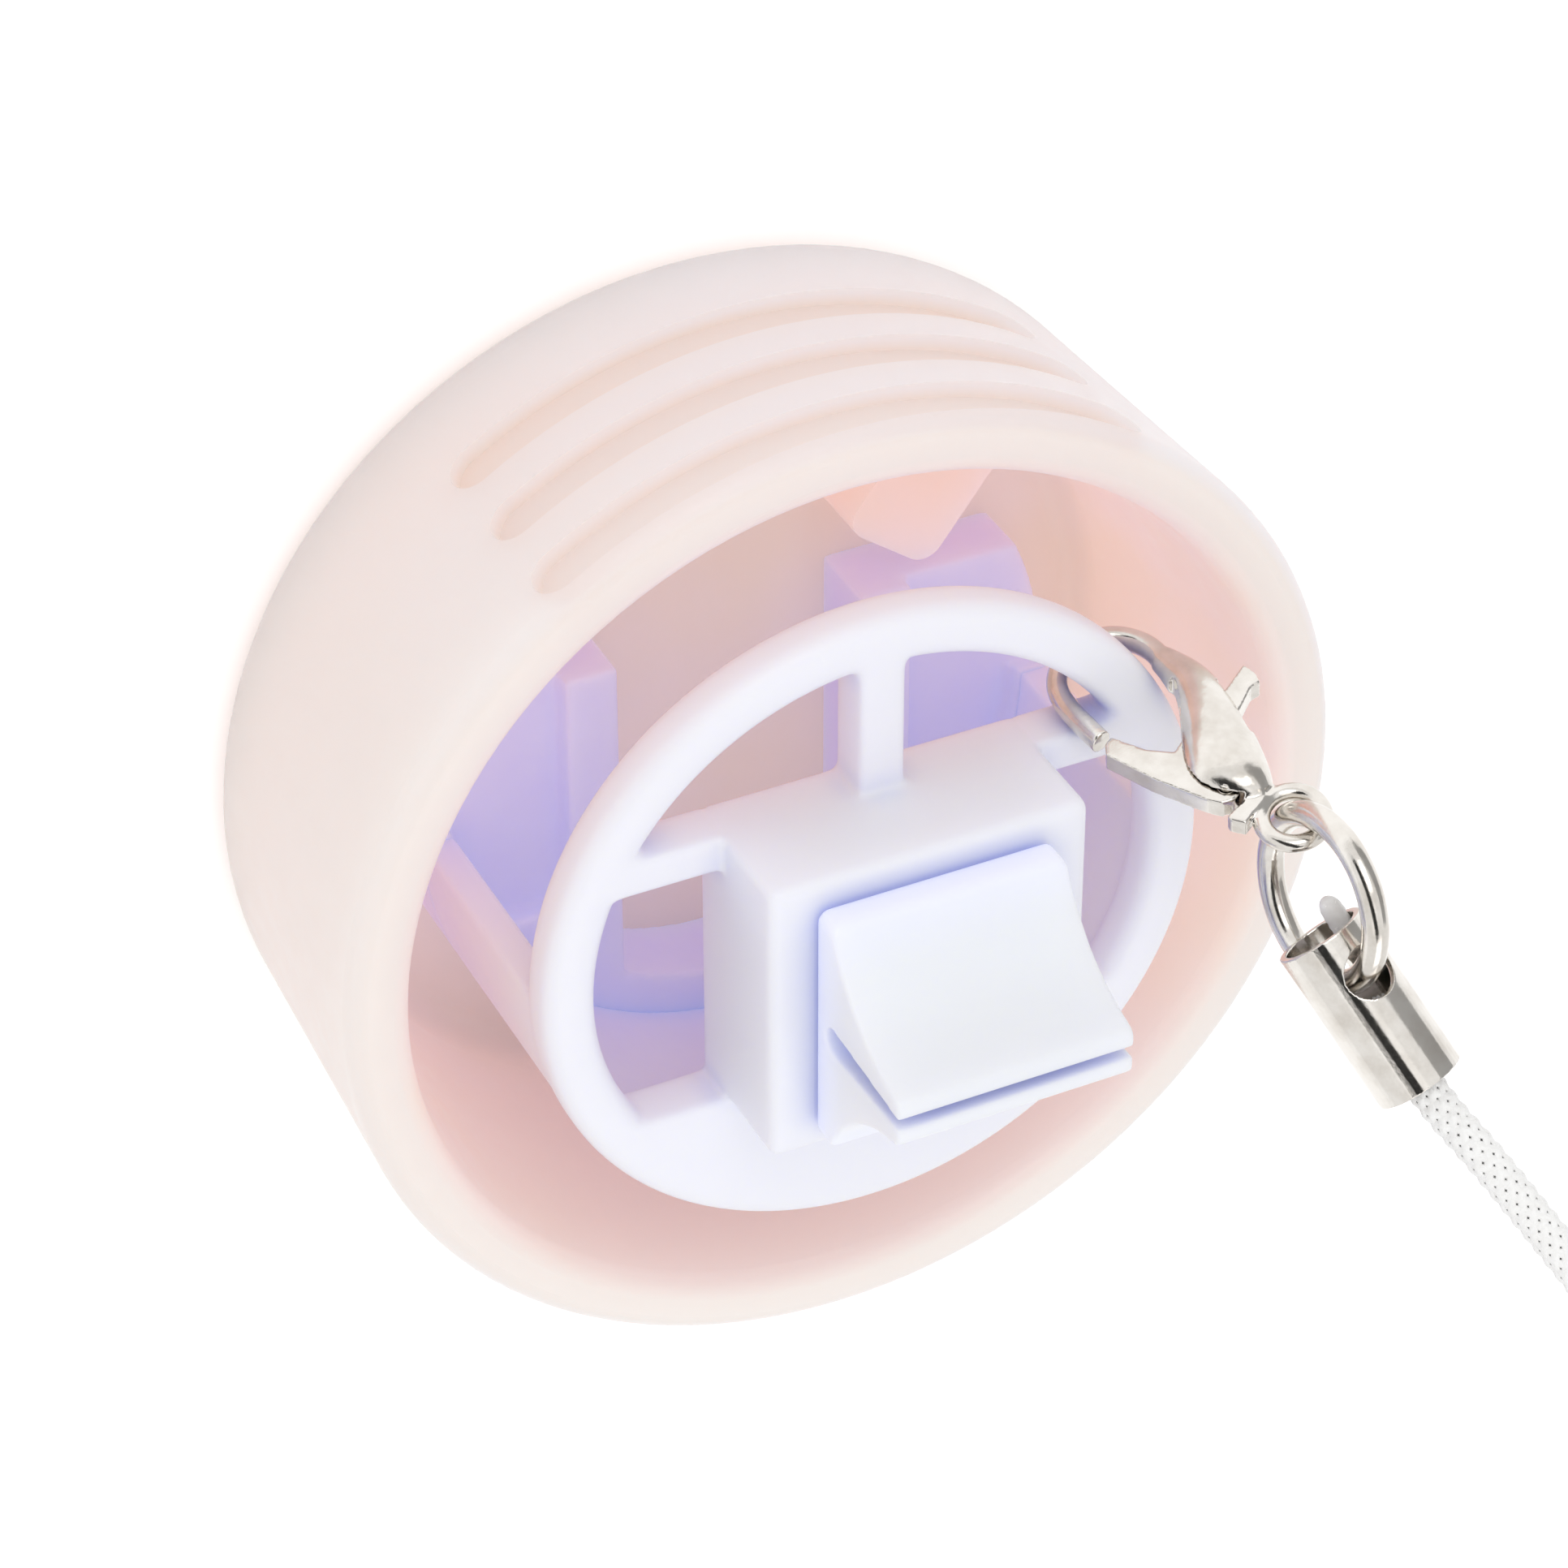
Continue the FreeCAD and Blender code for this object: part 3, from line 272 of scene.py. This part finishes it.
# the CAD nodes that stay visible
for node, thing in frame["nodes"].items():
    for index in range(len(thing.material_slots)):
        thing.material_slots[index].material = BY_SLOT[SLOT_OF[node]]


# ---------------------------------------------------------------- pieces
def new_piece(name, mesh, body, material):
    """An object of the scene that moves with a CAD body."""
    piece = bpy.data.objects.new(name, mesh)
    bpy.context.scene.collection.objects.link(piece)
    finish_with(piece, material)
    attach(piece, body)
    return piece


def joined(nodes):
    """One mesh that holds the meshes of several CAD nodes."""
    shape = bmesh.new()
    for node in nodes:
        shape.from_mesh(frame["nodes"][node].data)
    mesh = bpy.data.meshes.new("joined")
    shape.to_mesh(mesh)
    shape.free()
    return mesh


def softened(name, nodes, body, material, slot, voxel, rounds):
    """A finer copy of CAD solids with their hard edges rounded as a mould or a casting leaves them."""
    piece = new_piece(name, joined(nodes), body, material)
    remesh = piece.modifiers.new("remesh", "REMESH")
    remesh.mode = "VOXEL"
    remesh.voxel_size = voxel
    soften = piece.modifiers.new("soften", "SMOOTH")
    soften.factor = SMOOTH_FACTOR
    soften.iterations = rounds
    evaluated = piece.evaluated_get(bpy.context.evaluated_depsgraph_get())
    result = bpy.data.meshes.new_from_object(evaluated)
    piece.modifiers.clear()
    piece.data = result
    finish_with(piece, material)
    for face in piece.data.polygons:
        face.use_smooth = True
    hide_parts(*nodes)


# each piece: its name, the CAD nodes that it stands for, body, material, slot, voxel size, smoothing rounds
SOFTENED = (
    ("key_moulding", ["winding_key"], "key", KEY_LAVENDER, "lavender_plastic", 0.00009, 14),
    ("frame_moulding", ["carrier_frame", "movement_case"], "housing", LAVENDER, "lavender_plastic",
     0.00012, 16),
    ("bracket_moulding", ["rear_bracket"], "housing", LAVENDER, "lavender_plastic", 0.00015, 6),
    ("clasp_casting", ["clasp_body"], "clasp", NICKEL, "nickel", 0.00005, 14),
    ("gate_casting", ["clasp_lever"], "lever", NICKEL, "nickel", 0.00005, 8),
    ("sleeve_turned", ["crimp_tube"], "strap", NICKEL, "nickel", 0.00004, 3))
for row in SOFTENED:
    softened(*row)

# ---------------------------------------------------------------- cord
# the cord's route, as chosen in the CAD, and the middles of the sleeve's two ends
CORD_POINTS = [(0.0133322, 0.0002034, 0.0294751), (0.014743, -0.0028448, 0.0319965),
               (0.0157309, -0.0041817, 0.0343156), (0.0192775, -0.010453, 0.0402748),
               (0.024234, -0.02029, 0.0490462)]
SLEEVE_TOP = Vector((0.0122572, 0.0025259, 0.0275539))
SLEEVE_END = Vector((0.0144407, -0.0021916, 0.0314562))
SLEEVE_HOLE_AXIS = Vector((0.0936, 0.6464, 0.7573))
# the braid: the cord's radius, the number of strands, the length of one turn and a strand's half sizes
CORD_RADIUS, STRANDS, BRAID_TURN, STRAND_WIDE, STRAND_THICK = 0.75 * MM, 16, 5.0 * MM, 0.17 * MM, 0.075 * MM
STEPS_PER_TURN, CORE_SHARE = 36, 0.62
WEAVE_DIP = 0.55                # how far a strand dips under the next, in strand half thicknesses
# the knot: the tightened cord's radius and strand sizes, the loop's size, and its place beyond the end
KNOT_RADIUS, KNOT_WIDE, KNOT_THICK, KNOT_LOOP = 0.66 * MM, 0.15 * MM, 0.065 * MM, 0.36 * MM
KNOT_BEYOND_END, KNOT_DEPTH = 1.4 * MM, 1.25
LAST_STRETCH = 8                # points of the cord's line that give its direction at the end
# the cut end: its radius, its length, and its foot's place from the middle of the sleeve's top
TAIL_RADIUS, TAIL_LENGTH, TAIL_ASIDE, TAIL_INSIDE = 0.42 * MM, 1.55 * MM, 0.98 * MM, 0.6 * MM
TAIL_STRAIGHT_SHARE = 0.62      # of its length, before the rounded top


def spline_points():
    """Points along the smooth line that has the route's points as its control points."""
    curve = bpy.data.curves.new("cord_line", "CURVE")
    curve.dimensions = "3D"
    line = curve.splines.new("NURBS")
    line.points.add(len(CORD_POINTS) - 1)
    for point, place in zip(line.points, CORD_POINTS):
        point.co = (*place, 1.0)
    line.order_u = 3
    line.use_endpoint_u = True
    line.resolution_u = 40
    helper = bpy.data.objects.new("cord_line", curve)
    mesh = bpy.data.meshes.new_from_object(helper)
    points = np.array([v.co[:] for v in mesh.vertices])
    bpy.data.objects.remove(helper)
    bpy.data.curves.remove(curve)
    bpy.data.meshes.remove(mesh)
    return points


def even(points, step):
    """The line with points a step apart, two untwisted directions across it, and each point's distance."""
    lengths = np.concatenate([[0], np.cumsum(np.linalg.norm(np.diff(points, axis=0), axis=1))])
    count = max(2, int(round(lengths[-1] / step)) + 1)
    at = np.linspace(0, lengths[-1], count)
    line = np.array([np.interp(at, lengths, points[:, k]) for k in range(3)]).T
    along = np.gradient(line, axis=0)
    along /= np.linalg.norm(along, axis=1)[:, None]
    side = np.cross(along[0], [0, 0, 1.0])
    sides = []
    for direction in along:
        side = side - direction * np.dot(side, direction)
        side /= np.linalg.norm(side)
        sides.append(side)
    sides = np.array(sides)
    return line, sides, np.cross(along, sides), at


def tube(mesh_data, line, wide, thick, across, up, sides=8):
    """Adds a tube of oval section along a line to the lists of vertices and faces."""
    vertices, faces = mesh_data
    start = len(vertices)
    for place, a, b in zip(line, across, up):
        for k in range(sides):
            turn = 2 * math.pi * k / sides
            vertices.append(tuple(place + a * wide * math.cos(turn) + b * thick * math.sin(turn)))
    for ring in range(len(line) - 1):
        for k in range(sides):
            first, second = start + ring * sides + k, start + ring * sides + (k + 1) % sides
            faces.append((first, second, second + sides, first + sides))
    faces.append(tuple(start + k for k in reversed(range(sides))))
    faces.append(tuple(start + (len(line) - 1) * sides + k for k in range(sides)))


def braid(points, radius, wide, thick):
    """Strands that wind both ways round the line and pass over and under each other."""
    line, sides, ups, at = even(points, BRAID_TURN / STEPS_PER_TURN)
    data = ([], [])
    half = STRANDS // 2
    for way in (1, -1):
        for number in range(half):
            turn = way * 2 * math.pi * at / BRAID_TURN + 2 * math.pi * number / half
            weave = np.cos(half * (turn + (0.0 if way > 0 else math.pi / half))) * way
            reach = radius - thick - WEAVE_DIP * thick * (1 - weave)
            out = sides * np.cos(turn)[:, None] + ups * np.sin(turn)[:, None]
            path = line + out * reach[:, None]
            heading = np.gradient(path, axis=0)
            heading /= np.linalg.norm(heading, axis=1)[:, None]
            tube(data, path, wide, thick, np.cross(heading, out), out)
    tube(data, line, radius * CORE_SHARE, radius * CORE_SHARE, sides, ups, 16)
    mesh = bpy.data.meshes.new("braid")
    mesh.from_pydata(data[0], [], data[1])
    mesh.polygons.foreach_set("use_smooth", [True] * len(mesh.polygons))
    return mesh


cord_line = spline_points()
braided = new_piece("strap_braid", braid(cord_line, CORD_RADIUS, STRAND_WIDE, STRAND_THICK), "strap", CORD)
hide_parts("strap_cord")


def overhand_knot():
    """A small tight overhand knot over the cord's end."""
    end = Vector(cord_line[-1])
    direction = (end - Vector(cord_line[-LAST_STRETCH])).normalized()
    turn = direction.to_track_quat("Z", "X").to_matrix()
    turns = np.linspace(0, 2 * math.pi, 181)
    path = np.stack([KNOT_LOOP * (np.sin(turns) + 2 * np.sin(2 * turns)),
                     KNOT_LOOP * (np.cos(turns) - 2 * np.cos(2 * turns)),
                     -KNOT_LOOP * KNOT_DEPTH * np.sin(3 * turns)], axis=1)
    path = path @ np.array(turn).T + np.array(end + direction * KNOT_BEYOND_END)
    return braid(path, KNOT_RADIUS, KNOT_WIDE, KNOT_THICK)


knot = new_piece("strap_end_knot", overhand_knot(), "strap", CORD)
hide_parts("strap_knot")


def rounded_tail():
    """The cord's cut end beyond the sleeve's top, melted to a clear rounded bead."""
    axis = (SLEEVE_END - SLEEVE_TOP).normalized()
    side = SLEEVE_HOLE_AXIS.cross(axis).normalized()
    foot = SLEEVE_TOP + side * TAIL_ASIDE + axis * TAIL_INSIDE
    turn = (-axis).to_track_quat("Z", "X").to_matrix()
    straight = TAIL_LENGTH * TAIL_STRAIGHT_SHARE
    profile = [(TAIL_RADIUS, 0.0)]
    profile += [(TAIL_RADIUS * (1 + 0.04 * math.sin(9 * k)), straight * k / 6) for k in range(1, 7)]
    profile += [(TAIL_RADIUS * math.cos(math.pi * k / 16),
                 straight + (TAIL_LENGTH - straight) * math.sin(math.pi * k / 16)) for k in range(1, 8)]
    vertices, faces, around = [], [], 32
    for out, up in profile:
        for k in range(around):
            spin = 2 * math.pi * k / around
            wave = out * (1 + 0.03 * math.sin(3 * spin + up * 3000))
            vertices.append(foot + turn @ Vector((wave * math.cos(spin), wave * math.sin(spin), up)))
    for ring in range(len(profile) - 1):
        for k in range(around):
            first, second = ring * around + k, ring * around + (k + 1) % around
            faces.append((first, second, second + around, first + around))
    faces.append(tuple(reversed(range(around))))
    vertices.append(foot + turn @ Vector((0, 0, TAIL_LENGTH)))
    last = (len(profile) - 1) * around
    faces += [(last + k, last + (k + 1) % around, len(vertices) - 1) for k in range(around)]
    mesh = bpy.data.meshes.new("tail_bead")
    mesh.from_pydata(vertices, [], faces)
    mesh.polygons.foreach_set("use_smooth", [True] * len(mesh.polygons))
    return mesh


def clear_nylon():
    """Melted nylon, a little glassy."""
    n = Nodes("clear_nylon")
    n.colour(n.ramp(n.noise(1500, 3), [(0.3, linear("ECE9E6")), (0.7, linear("FCFBFA"))]))
    n.roughness(n.span(n.noise(2500, 3), NOISE_LOW, NOISE_HIGH, 0.12, 0.3))
    n.bump(n.noise(4000, 3), 0.00002, 0.4)
    n.set(Transmission_Weight=0.15, IOR=1.45)
    return n.material


tail = new_piece("cord_cut_end", rounded_tail(), "strap", clear_nylon())
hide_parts("cord_tail")

# ---------------------------------------------------------------- stage
def seen_straight(tree):
    """1 for a ray from the camera, a reflection or glass, and 0 for the light that falls on the object."""
    rays = tree.nodes.new("ShaderNodeLightPath")
    first = tree.nodes.new("ShaderNodeMath")
    second = tree.nodes.new("ShaderNodeMath")
    first.operation = second.operation = "MAXIMUM"
    tree.links.new(rays.outputs["Is Camera Ray"], first.inputs[0])
    tree.links.new(rays.outputs["Is Glossy Ray"], first.inputs[1])
    tree.links.new(first.outputs[0], second.inputs[0])
    tree.links.new(rays.outputs["Is Transmission Ray"], second.inputs[1])
    return second.outputs[0]


# the floor: half its side, how far it lies below the object, and the light that whitens it
FLOOR_REACH, FLOOR_DROP, FLOOR_LIFT = 3.0, 0.00002, 0.3
# the surroundings' brightness: as light on the object, and as the camera and reflections see it
WORLD_LIGHT, WORLD_SEEN = 0.80, 1.0


def floor_material():
    """A pale surface that looks white to the camera and keeps the object's shadow."""
    material = bpy.data.materials.new("floor_pale")
    material.use_nodes = True
    tree = material.node_tree
    shader = tree.nodes["Principled BSDF"]
    shader.inputs["Base Color"].default_value = linear("F6F6F6")
    shader.inputs["Roughness"].default_value = 0.9
    shader.inputs["Emission Color"].default_value = WHITE
    strength = tree.nodes.new("ShaderNodeMath")
    strength.operation = "MULTIPLY"
    strength.inputs[1].default_value = FLOOR_LIFT
    tree.links.new(seen_straight(tree), strength.inputs[0])
    tree.links.new(strength.outputs[0], shader.inputs["Emission Strength"])
    return material


floor_mesh = bpy.data.meshes.new("floor")
corners = [(x * FLOOR_REACH, y * FLOOR_REACH, 0) for x, y in ((-1, -1), (1, -1), (1, 1), (-1, 1))]
floor_mesh.from_pydata(corners, [], [(0, 1, 2, 3)])
floor = bpy.data.objects.new("floor", floor_mesh)
bpy.context.scene.collection.objects.link(floor)
floor.location.z = -FLOOR_DROP
floor_mesh.materials.append(floor_material())

world = bpy.data.worlds.new("studio")
bpy.context.scene.world = world
world.use_nodes = True
tree = world.node_tree
background = tree.nodes["Background"]
level = tree.nodes.new("ShaderNodeMapRange")
level.inputs["To Min"].default_value = WORLD_LIGHT
level.inputs["To Max"].default_value = WORLD_SEEN
tree.links.new(seen_straight(tree), level.inputs["Value"])
tree.links.new(level.outputs["Result"], background.inputs["Strength"])
background.inputs["Color"].default_value = WHITE


def softbox(name, place, target, side, power):
    """A square white lamp that faces the target."""
    light = bpy.data.lights.new(name, "AREA")
    light.shape = "RECTANGLE"
    light.size, light.size_y = side, side
    light.energy = power
    lamp = bpy.data.objects.new(name, light)
    lamp.location = place
    lamp.rotation_mode = "QUATERNION"
    lamp.rotation_quaternion = (Vector(target) - Vector(place)).to_track_quat("-Z", "Y")
    bpy.context.scene.collection.objects.link(lamp)


# both cards' long edge
CARD_HEIGHT = (0.19, -0.42, 0.347)


def dark_card(name, place, wide, grey):
    """A board beside the set that only shows in reflections, as the dark bands in polished metal."""
    middle, across, along = Vector(place), Vector(wide) / 2, Vector(CARD_HEIGHT) / 2
    corners = [middle - across - along, middle + across - along, middle + across + along,
               middle - across + along]
    mesh = bpy.data.meshes.new(name)
    mesh.from_pydata(corners, [], [(0, 1, 2, 3)])
    material = bpy.data.materials.new(name)
    material.use_nodes = True
    shader = material.node_tree.nodes["Principled BSDF"]
    shader.inputs["Base Color"].default_value = (grey, grey, grey, 1)
    shader.inputs["Roughness"].default_value = 0.95
    mesh.materials.append(material)
    card = bpy.data.objects.new(name, mesh)
    bpy.context.scene.collection.objects.link(card)
    card.visible_camera = card.visible_diffuse = card.visible_shadow = card.visible_transmission = False


# the cards stand where the photo's metal shows a dark and a grey band, and the lamps are large and soft
dark_card("dark_band", (-0.150, 0.050, 0.278), (0.100, 0.086, 0.048), 0.02)
dark_card("grey_band", (0.247, 0.131, 0.164), (0.162, -0.103, -0.215), 0.45)
softbox("key_light", (-0.05, 0.30, 0.28), (0, 0, 0.01), 0.22, 0.24)
softbox("front_fill", (-0.16, 0.02, 0.36), (0, 0, 0.01), 0.30, 0.06)
softbox("inside_fill", (0.02, -0.20, 0.30), (0, 0.01, 0.008), 0.20, 0.12)

# ---------------------------------------------------------------- camera
# the photograph's viewing angle, from a fit to the cup's two end circles and the case's corners
camera = bpy.data.cameras.new("camera")
camera.sensor_width = 36
camera.lens = 120.409
camera.clip_start, camera.clip_end = 0.01, 20
eye = bpy.data.objects.new("camera", camera)
bpy.context.scene.collection.objects.link(eye)
RIGHT = Vector((0.898713, -0.00157, 0.438534))
UP = Vector((0.262931, 0.802252, -0.535966))
FORWARD = Vector((0.350973, -0.596984, -0.721407))
CAMERA_PLACE = (-0.06918193, 0.1185746, 0.15129978)
facing = Matrix((RIGHT, UP, -FORWARD)).transposed()
eye.matrix_world = Matrix.Translation(CAMERA_PLACE) @ facing.to_4x4()
bpy.context.scene.camera = eye
bpy.context.scene.view_settings.view_transform = "Standard"

bpy.context.view_layer.update()
